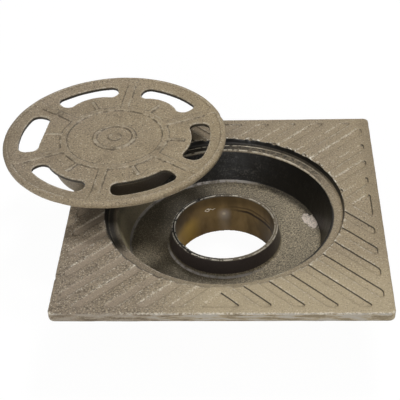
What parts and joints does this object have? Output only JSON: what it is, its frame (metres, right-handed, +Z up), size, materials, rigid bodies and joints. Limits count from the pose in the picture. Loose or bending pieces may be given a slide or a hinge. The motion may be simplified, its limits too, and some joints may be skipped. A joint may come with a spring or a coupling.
{
  "type": "floor drain with a round bell grate",
  "caption": "Cast-iron bell-trap floor drain: square plate with a bowl and outlet spigot, its slotted round grate lifted off and laid on the plate's corner.",
  "frame": {"origin": "centre of the outlet spigot's lower end", "axes": "+Z up out of the floor along the outlet's axis, +X to the right and +Y to the back along the sides of the square plate; the grate lies on the corner at -X, +Y"},
  "size_m": [0.2491, 0.2247, 0.0694],
  "materials": {
    "body_casting": "bare sand-cast iron, grey-brown, dark inside the bowl",
    "grate_casting": "bare sand-cast iron, grey-brown"
  },
  "bodies": {
    "root": {"drain_body": "body_casting", "grate_cover": "grate_casting"}
  },
  "joints": []
}
